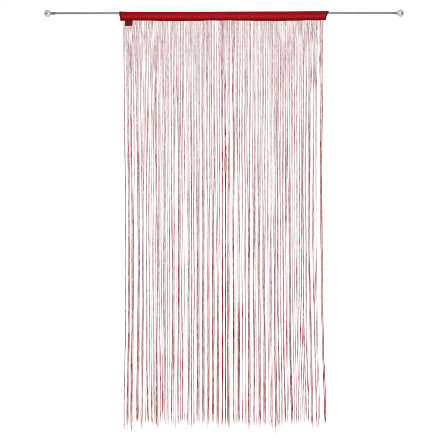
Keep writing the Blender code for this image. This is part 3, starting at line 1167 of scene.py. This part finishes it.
def label_weave():
    """Satin-woven ribbon: fine ribs across it and a faint random mottling."""
    made, tree, shader = new_finish("dark label ribbon", 0.5, Specular_IOR_Level=0.12)
    weft = ribs(tree, "Z", LABEL_RIBS, 0.4)
    warp = ribs(tree, "X", LABEL_WARP)
    cloud = speckle(tree, object_place(tree), LABEL_CLOUD)
    colour = blended(tree, ranged(tree, cloud, 0.0, 1.0, 0.3, 0.7), LABEL_DEEP, LABEL_LIGHT)
    # Painted shade between the ribs.
    colour = blended(tree, ranged(tree, weft, 0.4, 0.0), colour, LABEL_DEEP)
    bumps = ((warp, WARP_DEPTH), (weft, RIB_DEPTH))
    dress(tree, shader, colour, *bumps, roughness=ranged(tree, cloud, 0.42, 0.62))
    return made


label_grid = [
    [label_point(column / LABEL_COLUMNS, row / LABEL_ROWS) for row in range(LABEL_ROWS + 1)]
    for column in range(LABEL_COLUMNS + 1)
]
label_mesh = cloth_mesh("label_tab", label_grid, LABEL_CLOTH)
label = place_piece("label_tab", label_mesh, label_weave(), "label", "label")


# ----------------------------------------
# Studio
# A plain pale floor below the strings, a white surround that is greyer towards the front, two soft
# lights in front, and the camera straight in front at half the curtain's height.

FLOOR_LEVEL = cad_low.z - 0.08
FLOOR_HALF = 2.4
FLOOR_GLOW = 0.86
FLOOR_GREYS = ((0.14, 0.14, 0.14), (0.17, 0.17, 0.17))
WHITE = (1.0, 1.0, 1.0, 1.0)
CAMERA_DISTANCE = 5.073
AIM = (-0.0011, 0.0, -1.011)
LENS = 85.0
SENSOR = 36.0
CAMERA_ROLL = 0.0006
FILTER_WIDTH = 0.65  # of the picture's sampling, because the strings are so thin

# Each row: name, place, height on the curtain that it is aimed at, width, height, power.
LIGHTS = (
    ("upper light", (0.0, -1.05, -0.10), -0.08, 1.2, 0.8, 6.6),
    ("lower light", (0.0, -2.6, -1.70), -1.50, 1.6, 0.8, 7.0),
)


def pale_floor():
    """Matt and nearly white, with a faint cloudiness, and bright enough to take no shadow."""
    glow = {"Specular_IOR_Level": 0.1, "Emission_Color": WHITE, "Emission_Strength": FLOOR_GLOW}
    made, tree, shader = new_finish("pale floor", 0.9, **glow)
    dress(tree, shader, blended(tree, speckle(tree, object_place(tree), 2.0), *FLOOR_GREYS))
    return made


sides = ((-1, -1), (1, -1), (1, 1), (-1, 1))
corners = [(across * FLOOR_HALF, back * FLOOR_HALF, FLOOR_LEVEL) for across, back in sides]
floor_mesh = bpy.data.meshes.new("floor")
floor_mesh.from_pydata(corners, [], [(0, 1, 2, 3)])
floor_mesh.materials.append(pale_floor())
floor = put_in("floor", floor_mesh)


def studio_surround():
    """White to the eye all round. As light it is white behind and above, and greyer in front."""
    world = bpy.data.worlds.new("studio")
    world.use_nodes = True
    tree = world.node_tree
    tree.nodes.clear()
    place = made_by(tree, "ShaderNodeTexCoord", {}, "Generated")
    behind = ranged(tree, one_axis(tree, place, "Y"), 0.74, 1.0, -0.60, 0.20)
    front = ranged(tree, one_axis(tree, place, "Y"), 1.0, 0.0, -0.85, -0.35)
    below = ranged(tree, one_axis(tree, place, "Z"), 0.64, 0.0, -0.10, 0.30)
    bright = worked_out(tree, "SUBTRACT", behind, worked_out(tree, "MULTIPLY", front, below))
    lit = made_by(tree, "ShaderNodeBackground", {"Color": WHITE, "Strength": bright})
    seen = made_by(tree, "ShaderNodeBackground", {"Color": WHITE})
    to_eye = made_by(tree, "ShaderNodeLightPath", {}, "Is Camera Ray")
    chosen = made_by(tree, "ShaderNodeMixShader", {0: to_eye, 1: lit, 2: seen})
    tree.links.new(chosen, tree.nodes.new("ShaderNodeOutputWorld").inputs["Surface"])
    return world


def soft_light(name, place, aim, width, height, power):
    """A soft panel in front of the curtain's middle, turned to face it."""
    lamp = bpy.data.lights.new(name, "AREA")
    lamp.shape = "RECTANGLE"
    lamp.size = width
    lamp.size_y = height
    lamp.energy = power
    made = put_in(name, lamp)
    made.location = place
    made.rotation_euler.x = math.atan2(-place[1], place[2] - aim)
    made.visible_camera = False


scene.world = studio_surround()
scene.view_settings.view_transform = "Standard"
scene.cycles.filter_width = FILTER_WIDTH
for light in LIGHTS:
    soft_light(*light)

lens = bpy.data.cameras.new("camera")
lens.lens = LENS
lens.sensor_width = SENSOR
camera = put_in("camera", lens)
camera.location = (AIM[0], -CAMERA_DISTANCE, AIM[2])
camera.rotation_euler = (math.pi / 2, CAMERA_ROLL, 0.0)
scene.camera = camera
